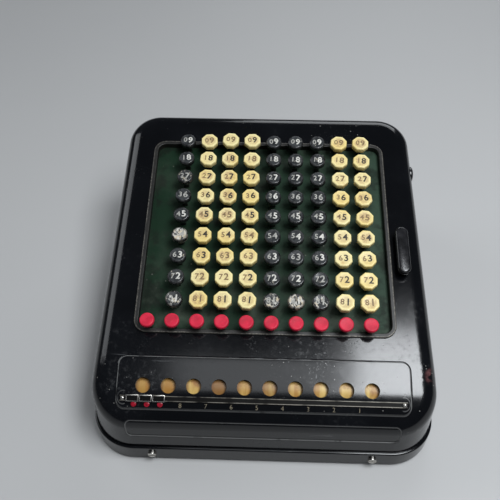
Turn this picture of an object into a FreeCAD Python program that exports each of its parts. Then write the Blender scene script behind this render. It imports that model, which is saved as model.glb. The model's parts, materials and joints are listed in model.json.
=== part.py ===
import FreeCAD, Part
import math
import os

# A key-driven adding machine with a full keyboard, in millimetres.
# X runs to the right, Y to the back and Z up. The origin is at the middle of the footprint, on the table.

# Keyboard grid
COLUMNS = 9
ROWS = 9
COLUMN_PITCH = 19.05
ROW_PITCH = 19.1
RED_ROW_GAP = 18.0
GRID_SHIFT = 5.0
CREAM_COLUMNS = (2, 3, 4, 8, 9)

# Keys, measured square to the deck
CAP_TOP_HEIGHT = 13.0
CREAM_CAP_FLATS = 13.2
CREAM_CAP_THICKNESS = 5.0
CREAM_TABLE_FLATS = 12.2
BLACK_CAP_DIAMETER = 11.8
BLACK_CAP_THICKNESS = 4.8
BLACK_TABLE_DIAMETER = 10.8
RED_CAP_DIAMETER = 11.4
RED_CAP_THICKNESS = 3.6
RED_TABLE_DIAMETER = 10.0
CAP_BEVEL = 0.8
RED_BEVEL = 0.8
STEM_WIDTH = 4.0
STEM_THICKNESS = 1.5
STEM_SLOT_CLEARANCE = 0.35
STEM_TAIL = 3.0

# Case cover
CASE_SIDE_MARGIN = 22.5
CASE_BOTTOM = 18.0
CASE_WALL = 2.0
CASE_FLANGE = 7.0
CASE_DRAFT = 3.0
CASE_CORNER_RADIUS = 34.0
CASE_EDGE_RADIUS = 14.0
DECK_SLOPE = 15.0
DECK_HEIGHT_AT_FIRST_ROW = 83.5
FIRST_ROW_TO_FRONT_FOOT = 84.4
FIRST_ROW_TO_BACK_FOOT = 201.6
REGISTER_START = 39.0
REGISTER_RADIUS = 100.0

# Keyboard opening, rim and plate
OPENING_LEDGE = 0.5
OPENING_FRONT = 22.5
OPENING_BACK = 158.5
OPENING_CORNER_RADIUS = 9.0
RIM_LAP = 1.6
RIM_INNER = 2.0
RIM_HEIGHT = 1.6
RIM_FIT = 0.2
RIM_ROUNDING = 0.7
PLATE_DEPTH = 4.0
PLATE_THICKNESS = 1.5
PLATE_MARGIN = 3.5
GUIDE_DEPTH = 26.0

# Register
WINDOWS = 10
WINDOW_DIAMETER = 11.4
WINDOW_DISTANCE = 58.8
PANEL_DISTANCE = 56.7
PANEL_WIDTH = 220.0
PANEL_LENGTH = 39.1
PANEL_CORNER_RADIUS = 6.0
PANEL_RISE = 0.8
PANEL_BEVEL = 0.8
WHEEL_DIAMETER = 34.0
WHEEL_WIDTH = 12.5
WHEEL_GAP = 1.2
HUB_DIAMETER = 11.0
HUB_END_GAP = 0.4
STAR_TEETH = 10
STAR_DIAMETER = 22.0
STAR_ROOT_DIAMETER = 15.0
STAR_WIDTH = 3.0
WHEEL_SHAFT_DIAMETER = 6.0

# Name recess on the front wall, left bare
NAME_WIDTH = 206.0
NAME_LOW = 32.7
NAME_HIGH = 50.0
NAME_DEPTH = 0.7
NAME_CORNER_RADIUS = 4.0

# Decimal rail and its three markers
RAIL_DISTANCE = 67.1
RAIL_LENGTH = 214.0
RAIL_WIDTH = 4.0
RAIL_FLOOR = 0.6
RAIL_LIP = 0.5
RAIL_LIP_HEIGHT = 1.2
RAIL_SEAT = 0.02
RAIL_SCREW_SPACING = 209.6
RAIL_SCREW_DIAMETER = 2.6
RAIL_SCREW_HEIGHT = 1.4
MARKERS = 3
FIRST_MARKER_X = -97.5
MARKER_PITCH = 9.9
MARKER_LENGTH = 9.5
MARKER_WIDTH = 5.2
MARKER_THICKNESS = 1.0
MARKER_CLEARANCE = 0.3

# Clearing lever at the right of the keyboard
GRIP_OFFSET = 7.0
GRIP_DISTANCE = 53.5
GRIP_LENGTH = 37.0
GRIP_WIDTH = 9.0
GRIP_THICKNESS = 6.0
GRIP_RISE = 4.2
GRIP_ROUNDING = 2.4
LEVER_SWING = 16.0
LEVER_PIVOT_DEPTH = 62.0
LEVER_WIDTH = 6.0
LEVER_THICKNESS = 3.0
LEVER_HUB_DIAMETER = 14.0
LEVER_PIN_DIAMETER = 6.0
LEVER_PIN_HEAD = 10.0
LEVER_PIN_HEAD_THICKNESS = 2.0
LEVER_SIDE_GAP = 0.3
SLOT_CLEARANCE = 1.2

# Frame inside
FRAME_WHEEL_GAP = 5.0
FRAME_THICKNESS = 3.0
FRAME_FRONT = 60.0
FRAME_FRONT_TOP = 55.0
FRAME_BACK = 182.0
ROD_DIAMETER = 6.0
ROD_HEIGHT = 13.0
ROD_DISTANCES = (-48.0, 55.0, 160.0)
COLUMN_LEVER_DEPTH = 40.0
COLUMN_LEVER_HEIGHT = 8.0
COLUMN_LEVER_THICKNESS = 2.0
COLUMN_LEVER_FRONT = 16.0
COLUMN_LEVER_TOE = 5.0
LEVER_SHAFT_DISTANCE = 172.0
LEVER_SHAFT_DIAMETER = 8.0
COLUMN_HUB_DIAMETER = 15.0
RUNNING_CLEARANCE = 0.05
FRAME_HOLE_CLEARANCE = 0.05

# Base tray, feet, screws and side knob
FOOT_HEIGHT = 2.5
FOOT_DIAMETER = 18.0
FOOT_SPACING_X = 210.0
FOOT_SPACING_Y = 220.0
TRAY_LIP = 2.0
TRAY_ROUNDING = 1.2
TRAY_WALL = 4.5
TRAY_FLOOR = 2.0
BASE_SCREW_SPACING = 172.0
BASE_SCREW_HEIGHT = 9.9
BASE_SCREW_HEAD = 6.6
BASE_SCREW_HEAD_THICKNESS = 2.0
BASE_SCREW_SHANK = 4.0
BASE_SCREW_LENGTH = 8.0
SCREW_SLOT = 1.1
KNOB_DIAMETER = 15.0
KNOB_PROUD = 7.0
KNOB_DISTANCE = 141.0
KNOB_HEIGHT = 106.0
KNOB_ROUNDING = 2.0

# Places that follow from the sizes above
UP = FreeCAD.Vector(0, 0, 1)
RIGHT = FreeCAD.Vector(1, 0, 0)
CENTRE_X = 0.0
MARKER_TONGUE = RAIL_WIDTH - 2 * RAIL_LIP - 2 * MARKER_CLEARANCE
FRAME_INNER_WIDTH = 2 * (WINDOWS / 2 * COLUMN_PITCH - GRID_SHIFT + WHEEL_WIDTH / 2 + FRAME_WHEEL_GAP)
OPENING_WIDTH = FRAME_INNER_WIDTH - 2 * OPENING_LEDGE
GRIP_X = FRAME_INNER_WIDTH / 2 + FRAME_THICKNESS + GRIP_OFFSET
CASE_WIDTH = 2 * (GRIP_X + CASE_SIDE_MARGIN)
FIRST_ROW_Y = (FIRST_ROW_TO_FRONT_FOOT - FIRST_ROW_TO_BACK_FOOT) / 2
FRONT_FOOT_Y = FIRST_ROW_Y - FIRST_ROW_TO_FRONT_FOOT
BACK_FOOT_Y = FIRST_ROW_Y + FIRST_ROW_TO_BACK_FOOT
SLOPE = math.radians(DECK_SLOPE)
DRAFT = math.tan(math.radians(CASE_DRAFT))
PLATE_UNDERSIDE = -PLATE_DEPTH - PLATE_THICKNESS
GUIDE_TOP = -GUIDE_DEPTH
STEM_BOTTOM = -GUIDE_DEPTH - PLATE_THICKNESS - STEM_TAIL
LEVER_PIVOT_V = GRIP_DISTANCE - (LEVER_PIVOT_DEPTH + GRIP_RISE) * math.tan(math.radians(LEVER_SWING))
REGISTER_START_HEIGHT = DECK_HEIGHT_AT_FIRST_ROW - REGISTER_START * math.tan(SLOPE)
FLOOR_TOP = FOOT_HEIGHT + TRAY_FLOOR


def vec(x, y, z):
    return FreeCAD.Vector(x, y, z)


def column_x(column):
    """Across the deck, from the middle of the case; column 0 is the extra red key's."""
    return (column - (COLUMNS + 1) / 2) * COLUMN_PITCH + GRID_SHIFT


def tilted(slope, y, z):
    """A frame tipped up at the back by slope, with its origin on the case's middle line."""
    return FreeCAD.Placement(vec(CENTRE_X, y, z), FreeCAD.Rotation(RIGHT, slope))


def register_slope(distance):
    """Slope in degrees of the curved register face, at a distance in front of the first key row."""
    return math.degrees(math.asin(math.sin(SLOPE) + (distance - REGISTER_START) / REGISTER_RADIUS))


def register_frame(distance):
    """A frame lying on the register face at a distance in front of the first key row."""
    slope = register_slope(distance)
    drop = REGISTER_RADIUS * (math.cos(SLOPE) - math.cos(math.radians(slope)))
    return tilted(slope, FIRST_ROW_Y - distance, REGISTER_START_HEIGHT - drop)


# The deck's frame starts square below the first row's key tops, so that those stand over FIRST_ROW_Y.
CAP_SETBACK = CAP_TOP_HEIGHT * math.sin(SLOPE)
DECK = tilted(DECK_SLOPE, FIRST_ROW_Y + CAP_SETBACK, DECK_HEIGHT_AT_FIRST_ROW + CAP_SETBACK * math.tan(SLOPE))


def placed(shape, frame):
    shape.Placement = frame.multiply(shape.Placement)
    return shape


def block(x0, x1, y0, y1, z0, z1):
    return Part.makeBox(x1 - x0, y1 - y0, z1 - z0, vec(x0, y0, z0))


def centred_block(x, y, width, length, z0, z1):
    return block(x - width / 2, x + width / 2, y - length / 2, y + length / 2, z0, z1)


def rod_x(diameter, x0, x1, y, z):
    return Part.makeCylinder(diameter / 2, x1 - x0, vec(x0, y, z), RIGHT)


def rounded_wire(x0, x1, y0, y1, radius, z):
    """A rectangle with round corners, in a plane of height z."""
    bulge = radius * (1 - math.sqrt(0.5))
    corners = ((x1, y0, -1, 1), (x1, y1, -1, -1), (x0, y1, 1, -1), (x0, y0, 1, 1))
    arcs = []
    for index, (x, y, inward_x, inward_y) in enumerate(corners):
        on_x_side = vec(x + inward_x * radius, y, z)
        on_y_side = vec(x, y + inward_y * radius, z)
        middle = vec(x + inward_x * bulge, y + inward_y * bulge, z)
        ends = (on_x_side, on_y_side) if index % 2 == 0 else (on_y_side, on_x_side)
        arcs.append((ends[0], middle, ends[1]))
    edges = []
    for index, (start, middle, end) in enumerate(arcs):
        previous_end = arcs[index - 1][2]
        edges.append(Part.LineSegment(previous_end, start).toShape())
        edges.append(Part.Arc(start, middle, end).toShape())
    return Part.Wire(edges)


def rounded_prism(x0, x1, y0, y1, radius, z0, z1):
    return Part.Face(rounded_wire(x0, x1, y0, y1, radius, z0)).extrude(UP * (z1 - z0))


def compound(solids):
    return Part.makeCompound(solids)


def case_outline(height, inset):
    """The case's outline seen from above, at a height, drawn in by the walls' draft and an inset."""
    draw_in = inset + (height - CASE_BOTTOM) * DRAFT
    half_width = CASE_WIDTH / 2 - draw_in
    radius = CASE_CORNER_RADIUS - draw_in
    return rounded_wire(CENTRE_X - half_width, CENTRE_X + half_width,
                        FRONT_FOOT_Y + draw_in, BACK_FOOT_Y - draw_in, radius, height)


def top_profile(inset):
    """The closed side view below the deck and the curved register face, drawn in by an inset."""
    reach_slope = register_slope(FIRST_ROW_TO_FRONT_FOOT + CASE_WALL)
    points = []
    for slope in (reach_slope, (reach_slope + DECK_SLOPE) / 2, DECK_SLOPE):
        angle = math.radians(slope)
        distance = REGISTER_START + REGISTER_RADIUS * (math.sin(angle) - math.sin(SLOPE))
        height = REGISTER_START_HEIGHT - REGISTER_RADIUS * (math.cos(SLOPE) - math.cos(angle))
        points.append(vec(0, FIRST_ROW_Y - distance + inset * math.sin(angle), height - inset * math.cos(angle)))
    front, middle, start = points
    run = BACK_FOOT_Y + CASE_WALL - start.y
    back = vec(0, start.y + run, start.z + run * math.tan(SLOPE))
    low_back = vec(0, back.y, 0)
    low_front = vec(0, front.y, 0)
    edges = [Part.Arc(front, middle, start).toShape()]
    for first, second in ((start, back), (back, low_back), (low_back, low_front), (low_front, front)):
        edges.append(Part.LineSegment(first, second).toShape())
    return Part.Face(Part.Wire(edges))


def case_body(inset, bottom):
    """The whole case as a solid, drawn in by an inset, with every upper edge rounded."""
    ceiling = DECK_HEIGHT_AT_FIRST_ROW + FIRST_ROW_TO_BACK_FOOT * math.tan(SLOPE)
    walls = Part.makeLoft([case_outline(bottom, inset), case_outline(ceiling, inset)], True, True)
    top = top_profile(inset).extrude(RIGHT * CASE_WIDTH)
    top.translate(vec(CENTRE_X - CASE_WIDTH / 2, 0, 0))
    body = walls.common(top).Solids[0]
    upper_faces = [face for face in body.Faces if is_upper(face)]
    upper_edges = []
    for face in upper_faces:
        others = [other for other in upper_faces if not other.isSame(face)]
        for edge in face.Edges:
            if not any(edge.isSame(shared) for other in others for shared in other.Edges):
                upper_edges.append(edge)
    return body.makeFillet(CASE_EDGE_RADIUS - inset, upper_edges)


def is_upper(face):
    """True for the deck and the register face, which are the faces that run straight across."""
    u0, u1, v0, v1 = face.ParameterRange
    normal = face.normalAt((u0 + u1) / 2, (v0 + v1) / 2)
    return abs(normal.x) < 1e-6 and normal.z > 0.5


def panel_pad():
    """The raised pad round the register windows, with sloping edges."""
    frame = register_frame(PANEL_DISTANCE)
    half = PANEL_WIDTH / 2
    reach = PANEL_LENGTH / 2
    wires = []
    for grow, height in ((0.0, -REGISTER_RADIUS / 10), (-PANEL_BEVEL, REGISTER_RADIUS / 10)):
        wires.append(rounded_wire(-half - grow, half + grow, -reach - grow, reach + grow,
                                  PANEL_CORNER_RADIUS + grow, height))
    column = placed(Part.makeLoft(wires, True, True), frame)
    raised = top_profile(-PANEL_RISE).extrude(RIGHT * PANEL_WIDTH)
    raised.translate(vec(CENTRE_X - PANEL_WIDTH / 2, 0, 0))
    return column.common(raised).cut(case_body(CASE_WALL / 2, CASE_BOTTOM))


def name_recess():
    """A thin layer of the front wall, in the outline of the bare name panel."""
    half = NAME_WIDTH / 2
    outline = rounded_prism(CENTRE_X - half, CENTRE_X + half, NAME_LOW, NAME_HIGH, NAME_CORNER_RADIUS,
                            0, CASE_CORNER_RADIUS)
    outline.rotate(vec(0, 0, 0), RIGHT, 90)
    outline.translate(vec(0, FRONT_FOOT_Y + CASE_CORNER_RADIUS, 0))
    return outline.cut(case_body(NAME_DEPTH, CASE_BOTTOM))


def window_cutters():
    frame = register_frame(WINDOW_DISTANCE)
    reach = CASE_WALL * 3
    cutters = []
    for window in range(WINDOWS):
        cutter = Part.makeCylinder(WINDOW_DIAMETER / 2, 2 * reach, vec(column_x(window), 0, -reach))
        cutters.append(placed(cutter, frame))
    return cutters


def lever_slot():
    lean = LEVER_PIVOT_DEPTH * math.tan(math.radians(LEVER_SWING))
    reach = LEVER_WIDTH / 2 / math.cos(math.radians(LEVER_SWING)) + SLOT_CLEARANCE
    half = LEVER_THICKNESS / 2 + SLOT_CLEARANCE
    slot = block(GRIP_X - half, GRIP_X + half, LEVER_PIVOT_V - reach, LEVER_PIVOT_V + lean + reach,
                 -3 * CASE_WALL, CASE_WALL)
    return placed(slot, DECK)


def opening_prism(grow, w0, w1):
    """The keyboard opening in the deck's frame, grown all round."""
    half = OPENING_WIDTH / 2 + grow
    return rounded_prism(-half, half, -OPENING_FRONT - grow, OPENING_BACK + grow,
                         OPENING_CORNER_RADIUS + grow, w0, w1)


def case_cover():
    cavity = case_body(CASE_WALL, CASE_BOTTOM)
    half = CASE_WIDTH
    cavity = cavity.common(block(-half, half, -half, half, CASE_BOTTOM + CASE_WALL, half))
    mouth = Part.Face(case_outline(CASE_BOTTOM, CASE_WALL + CASE_FLANGE)).extrude(UP * 2 * CASE_WALL)
    shell = case_body(0, CASE_BOTTOM).fuse(panel_pad()).cut(cavity).cut(mouth)
    opening = placed(opening_prism(0, -3 * CASE_WALL, CASE_WALL), DECK)
    return shell.cut([opening, lever_slot(), name_recess()] + window_cutters()).removeSplitter()


def keyboard_rim():
    bead = opening_prism(RIM_LAP, 0, RIM_HEIGHT).cut(opening_prism(-RIM_INNER, 0, RIM_HEIGHT))
    top_edges = [edge for edge in bead.Edges if edge.BoundBox.ZMin > RIM_HEIGHT - RIM_FIT]
    bead = bead.makeFillet(RIM_ROUNDING, top_edges)
    skirt = opening_prism(-RIM_FIT, -PLATE_DEPTH, 0).cut(opening_prism(-RIM_INNER, -PLATE_DEPTH, 0))
    return placed(bead.fuse(skirt).removeSplitter(), DECK)


def key_places():
    """Every key's column and its place along the deck, red keys included."""
    places = [(column, -RED_ROW_GAP) for column in range(COLUMNS + 1)]
    for row in range(ROWS):
        places += [(column, row * ROW_PITCH) for column in range(1, COLUMNS + 1)]
    return places


def slotted_plate(top, front, back, width):
    """A flat plate in the deck's frame with one slot for every key stem."""
    plate = block(-width / 2, width / 2, -front, back, top - PLATE_THICKNESS, top)
    slots = []
    for column, v in key_places():
        slots.append(centred_block(column_x(column), v, STEM_WIDTH + 2 * STEM_SLOT_CLEARANCE,
                                   STEM_THICKNESS + 2 * STEM_SLOT_CLEARANCE, top - 2 * PLATE_THICKNESS, top + 1))
    return placed(plate.cut(slots), DECK)


def keyboard_plate():
    return slotted_plate(-PLATE_DEPTH, OPENING_FRONT + PLATE_MARGIN, OPENING_BACK + PLATE_MARGIN,
                         OPENING_WIDTH + 2 * PLATE_MARGIN)


def key_guide_plate():
    return slotted_plate(GUIDE_TOP, OPENING_FRONT, OPENING_BACK + PLATE_MARGIN, FRAME_INNER_WIDTH)


def octagon(flats, z):
    corner = flats / 2 / math.cos(math.pi / 8)
    points = []
    for index in range(9):
        angle = math.pi / 8 + index * math.pi / 4
        points.append(vec(corner * math.cos(angle), corner * math.sin(angle), z))
    return Part.makePolygon(points)


def circle(diameter, z):
    return Part.Wire(Part.makeCircle(diameter / 2, vec(0, 0, z)))


def cap(section, size, table, thickness, bevel):
    """A key cap with straight sides and a bevel up to its table, its top at the cap height."""
    shoulder = CAP_TOP_HEIGHT - bevel
    foot = CAP_TOP_HEIGHT - thickness
    sides = Part.Face(section(size, foot)).extrude(UP * (shoulder - foot))
    crown = Part.makeLoft([section(size, shoulder), section(table, CAP_TOP_HEIGHT)], True, True)
    return sides.fuse(crown)


def key(cap_shape, column, v, foot):
    stem = centred_block(0, 0, STEM_WIDTH, STEM_THICKNESS, STEM_BOTTOM, foot)
    whole = cap_shape.fuse(stem).removeSplitter()
    whole.translate(vec(column_x(column), v, 0))
    return placed(whole, DECK)


def key_row(row, columns, section, size, table, thickness):
    cap_shape = cap(section, size, table, thickness, CAP_BEVEL)
    foot = CAP_TOP_HEIGHT - thickness
    return compound([key(cap_shape, column, row * ROW_PITCH, foot) for column in columns])


def red_key(column):
    cap_shape = cap(circle, RED_CAP_DIAMETER, RED_TABLE_DIAMETER, RED_CAP_THICKNESS, RED_BEVEL)
    return key(cap_shape, column, -RED_ROW_GAP, CAP_TOP_HEIGHT - RED_CAP_THICKNESS)


def wheel_axis():
    """The wheel shaft's place in Y and Z, behind the windows."""
    frame = register_frame(WINDOW_DISTANCE)
    depth = CASE_WALL + WHEEL_GAP + WHEEL_DIAMETER / 2
    return frame.multVec(vec(0, 0, -depth))


def star_wire(x, y, z):
    """The outline of the star wheel that an actuator turns one digit at a time."""
    points = []
    for step in range(2 * STAR_TEETH + 1):
        radius = (STAR_DIAMETER if step % 2 == 0 else STAR_ROOT_DIAMETER) / 2
        angle = step * math.pi / STAR_TEETH
        points.append(vec(x, y + radius * math.cos(angle), z + radius * math.sin(angle)))
    return Part.makePolygon(points)


def number_wheel(window):
    axis = wheel_axis()
    x = CENTRE_X + column_x(window)
    left = x - WHEEL_WIDTH / 2
    right = x + WHEEL_WIDTH / 2
    hub_end = left + COLUMN_PITCH - HUB_END_GAP
    drum = rod_x(WHEEL_DIAMETER, left, right, axis.y, axis.z)
    star = Part.Face(star_wire(right, axis.y, axis.z)).extrude(RIGHT * STAR_WIDTH)
    hub = rod_x(HUB_DIAMETER, left, hub_end, axis.y, axis.z)
    bore = rod_x(WHEEL_SHAFT_DIAMETER + 2 * RUNNING_CLEARANCE, left, hub_end, axis.y, axis.z)
    return drum.fuse([star, hub]).cut(bore).removeSplitter()


def wheel_shaft():
    axis = wheel_axis()
    half = FRAME_INNER_WIDTH / 2 + FRAME_THICKNESS
    return rod_x(WHEEL_SHAFT_DIAMETER, CENTRE_X - half, CENTRE_X + half, axis.y, axis.z)


def decimal_rail():
    half = RAIL_LENGTH / 2
    reach = RAIL_WIDTH / 2
    foot = PANEL_RISE + RAIL_SEAT
    rail = block(-half, half, -reach, reach, foot, foot + RAIL_LIP_HEIGHT)
    groove = block(-half, half, -reach + RAIL_LIP, reach - RAIL_LIP, foot + RAIL_FLOOR, foot + 2 * RAIL_LIP_HEIGHT)
    return placed(rail.cut(groove), register_frame(RAIL_DISTANCE))


def rail_screws():
    screws = []
    foot = PANEL_RISE + RAIL_SEAT + RAIL_FLOOR
    for side in (-1, 1):
        x = side * RAIL_SCREW_SPACING / 2
        head = Part.makeCylinder(RAIL_SCREW_DIAMETER / 2, RAIL_SCREW_HEIGHT, vec(x, 0, foot))
        screws.append(placed(head, register_frame(RAIL_DISTANCE)))
    return compound(screws)


def decimal_marker(index):
    x = FIRST_MARKER_X + index * MARKER_PITCH
    floor = PANEL_RISE + RAIL_SEAT + RAIL_FLOOR + MARKER_CLEARANCE
    plate_low = PANEL_RISE + RAIL_SEAT + RAIL_LIP_HEIGHT + MARKER_CLEARANCE
    plate = centred_block(x, 0, MARKER_LENGTH, MARKER_WIDTH, plate_low, plate_low + MARKER_THICKNESS)
    tongue = centred_block(x, 0, MARKER_LENGTH, MARKER_TONGUE, floor, plate_low)
    return placed(plate.fuse(tongue).removeSplitter(), register_frame(RAIL_DISTANCE))


def lever_pivot():
    """The clearing lever's pivot, in the part's frame."""
    return DECK.multVec(vec(GRIP_X, LEVER_PIVOT_V, -LEVER_PIVOT_DEPTH))


def clear_lever():
    """A flat arm that leans back from its hub up to the grip."""
    pivot = lever_pivot()
    length = (LEVER_PIVOT_DEPTH + GRIP_RISE) / math.cos(math.radians(LEVER_SWING))
    half = LEVER_THICKNESS / 2
    arm = centred_block(0, 0, LEVER_THICKNESS, LEVER_WIDTH, 0, length + LEVER_WIDTH)
    arm.rotate(vec(0, 0, 0), RIGHT, -LEVER_SWING)
    arm.translate(vec(GRIP_X, LEVER_PIVOT_V, -LEVER_PIVOT_DEPTH))
    below_grip = block(GRIP_X - GRIP_WIDTH, GRIP_X + GRIP_WIDTH, -CASE_WIDTH, CASE_WIDTH,
                       -CASE_WIDTH, GRIP_RISE)
    arm = placed(arm.common(below_grip), DECK)
    hub = rod_x(LEVER_HUB_DIAMETER, pivot.x - half, pivot.x + half, pivot.y, pivot.z)
    bore = rod_x(LEVER_PIN_DIAMETER + 2 * RUNNING_CLEARANCE, pivot.x - half, pivot.x + half, pivot.y, pivot.z)
    return arm.fuse(hub).cut(bore).removeSplitter()


def clear_lever_grip():
    """A finger grip shaped like a pill, lying along the deck."""
    radius = GRIP_WIDTH / 2
    half = GRIP_LENGTH / 2
    pill = rounded_prism(GRIP_X - radius, GRIP_X + radius, GRIP_DISTANCE - half, GRIP_DISTANCE + half,
                         radius * 0.999, GRIP_RISE, GRIP_RISE + GRIP_THICKNESS)
    top = [edge for edge in pill.Edges if edge.BoundBox.ZMin > GRIP_RISE + GRIP_THICKNESS / 2]
    return placed(pill.makeFillet(GRIP_ROUNDING, top), DECK)


def lever_pivot_pin():
    """A shouldered pin on the right side frame, with a head that keeps the arm on."""
    pivot = lever_pivot()
    frame_face = CENTRE_X + FRAME_INNER_WIDTH / 2 + FRAME_THICKNESS
    arm_low = pivot.x - LEVER_THICKNESS / 2 - LEVER_SIDE_GAP
    arm_high = pivot.x + LEVER_THICKNESS / 2 + LEVER_SIDE_GAP
    shoulder = rod_x(LEVER_PIN_HEAD, frame_face, arm_low, pivot.y, pivot.z)
    pin = rod_x(LEVER_PIN_DIAMETER, frame_face, arm_high, pivot.y, pivot.z)
    head = rod_x(LEVER_PIN_HEAD, arm_high, arm_high + LEVER_PIN_HEAD_THICKNESS, pivot.y, pivot.z)
    return shoulder.fuse([pin, head]).removeSplitter()


def lever_shaft_axis():
    depth = COLUMN_LEVER_DEPTH + COLUMN_LEVER_HEIGHT / 2
    return DECK.multVec(vec(0, LEVER_SHAFT_DISTANCE, -depth))


def lever_shaft():
    axis = lever_shaft_axis()
    half = FRAME_INNER_WIDTH / 2 + FRAME_THICKNESS
    return rod_x(LEVER_SHAFT_DIAMETER, CENTRE_X - half, CENTRE_X + half, axis.y, axis.z)


def column_lever(column):
    """A long lever below one column of keys, with a turned-up toe at its front."""
    axis = lever_shaft_axis()
    half = COLUMN_LEVER_THICKNESS / 2
    x = column_x(column)
    top = -COLUMN_LEVER_DEPTH
    strip = block(x - half, x + half, -COLUMN_LEVER_FRONT, LEVER_SHAFT_DISTANCE, top - COLUMN_LEVER_HEIGHT, top)
    toe = block(x - half, x + half, -COLUMN_LEVER_FRONT, -COLUMN_LEVER_FRONT + COLUMN_LEVER_HEIGHT,
                top, top + COLUMN_LEVER_TOE)
    strip = placed(strip.fuse(toe), DECK)
    x += CENTRE_X
    hub = rod_x(COLUMN_HUB_DIAMETER, x - half, x + half, axis.y, axis.z)
    bore = rod_x(LEVER_SHAFT_DIAMETER + 2 * RUNNING_CLEARANCE, x - half, x + half, axis.y, axis.z)
    return strip.fuse(hub).cut(bore).removeSplitter()


def column_levers():
    return compound([column_lever(column) for column in range(1, COLUMNS + 1)])


def side_frame(side):
    """A flat side plate from the base tray up to the keyboard plate, with holes for the shafts."""
    inner = CENTRE_X + side * FRAME_INNER_WIDTH / 2
    front_y = FIRST_ROW_Y - FRAME_FRONT
    plate_front = DECK.multVec(vec(0, -OPENING_FRONT - PLATE_MARGIN, PLATE_UNDERSIDE))
    plate_back = DECK.multVec(vec(0, FRAME_BACK, PLATE_UNDERSIDE))
    outline = (vec(inner, front_y, FLOOR_TOP), vec(inner, front_y, FRAME_FRONT_TOP),
               vec(inner, plate_front.y, plate_front.z), vec(inner, plate_back.y, plate_back.z),
               vec(inner, plate_back.y, FLOOR_TOP), vec(inner, front_y, FLOOR_TOP))
    plate = Part.Face(Part.makePolygon(outline)).extrude(RIGHT * side * FRAME_THICKNESS)
    holes = []
    reach = FRAME_INNER_WIDTH
    for diameter, axis in ((WHEEL_SHAFT_DIAMETER, wheel_axis()), (LEVER_SHAFT_DIAMETER, lever_shaft_axis())):
        holes.append(rod_x(diameter + 2 * FRAME_HOLE_CLEARANCE, -reach, reach, axis.y, axis.z))
    return plate.cut(holes)


def tie_rods():
    half = FRAME_INNER_WIDTH / 2
    rods = []
    for distance in ROD_DISTANCES:
        rods.append(rod_x(ROD_DIAMETER, CENTRE_X - half, CENTRE_X + half, FIRST_ROW_Y + distance, ROD_HEIGHT))
    return compound(rods)


def base_screw_places():
    """Each base screw's X, the tray face that it is on and the way that it points out."""
    places = []
    for out, face in ((-1, FRONT_FOOT_Y - TRAY_LIP), (1, BACK_FOOT_Y + TRAY_LIP)):
        for side in (-1, 1):
            places.append((CENTRE_X + side * BASE_SCREW_SPACING / 2, face, out))
    return places


def base_plate():
    """The shallow tray that the case stands on, with a lip all round it."""
    tray = Part.Face(case_outline(CASE_BOTTOM, -TRAY_LIP)).extrude(UP * (FOOT_HEIGHT - CASE_BOTTOM))
    top = [edge for edge in tray.Edges if edge.BoundBox.ZMin > CASE_BOTTOM - TRAY_ROUNDING]
    tray = tray.makeFillet(TRAY_ROUNDING, top)
    hollow = Part.Face(case_outline(CASE_BOTTOM, TRAY_WALL - TRAY_LIP)).extrude(UP * (FLOOR_TOP - CASE_BOTTOM))
    cutters = [hollow]
    hole = BASE_SCREW_SHANK / 2 + FRAME_HOLE_CLEARANCE
    for x, face, out in base_screw_places():
        start = vec(x, face + out * TRAY_WALL, BASE_SCREW_HEIGHT)
        cutters.append(Part.makeCylinder(hole, 3 * TRAY_WALL, start, vec(0, -out, 0)))
    return tray.cut(cutters)


def base_screws():
    screws = []
    for x, face, out in base_screw_places():
        start = vec(x, face, BASE_SCREW_HEIGHT)
        head = Part.makeCylinder(BASE_SCREW_HEAD / 2, BASE_SCREW_HEAD_THICKNESS, start, vec(0, out, 0))
        rim = [edge for edge in head.Edges if abs(edge.CenterOfMass.y - face) > BASE_SCREW_HEAD_THICKNESS * 0.9]
        head = head.makeFillet(BASE_SCREW_HEAD_THICKNESS / 3, rim)
        slot = centred_block(x, face + out * BASE_SCREW_HEAD_THICKNESS, BASE_SCREW_HEAD, BASE_SCREW_HEAD_THICKNESS,
                             BASE_SCREW_HEIGHT - SCREW_SLOT / 2, BASE_SCREW_HEIGHT + SCREW_SLOT / 2)
        shank = Part.makeCylinder(BASE_SCREW_SHANK / 2, BASE_SCREW_LENGTH, start, vec(0, -out, 0))
        screws.append(head.cut(slot).fuse(shank).removeSplitter())
    return compound(screws)


def rubber_feet():
    feet = []
    for side_x in (-1, 1):
        for side_y in (-1, 1):
            place = vec(CENTRE_X + side_x * FOOT_SPACING_X / 2, side_y * FOOT_SPACING_Y / 2, 0)
            feet.append(Part.makeCylinder(FOOT_DIAMETER / 2, FOOT_HEIGHT, place))
    return compound(feet)


def side_knob():
    """A round knob on the right wall, seated on the wall's slope."""
    wall = CENTRE_X + CASE_WIDTH / 2 - (KNOB_HEIGHT - CASE_BOTTOM) * DRAFT
    knob = rod_x(KNOB_DIAMETER, wall - KNOB_PROUD, wall + KNOB_PROUD, FIRST_ROW_Y + KNOB_DISTANCE, KNOB_HEIGHT)
    rim = [edge for edge in knob.Edges if edge.CenterOfMass.x > wall + KNOB_PROUD / 2 and edge.Closed]
    return knob.makeFillet(KNOB_ROUNDING, rim[:1]).cut(case_body(0, CASE_BOTTOM)).Solids[0]


def save(name, shape):
    shape.exportStep("parts/" + name + ".step")


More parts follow.
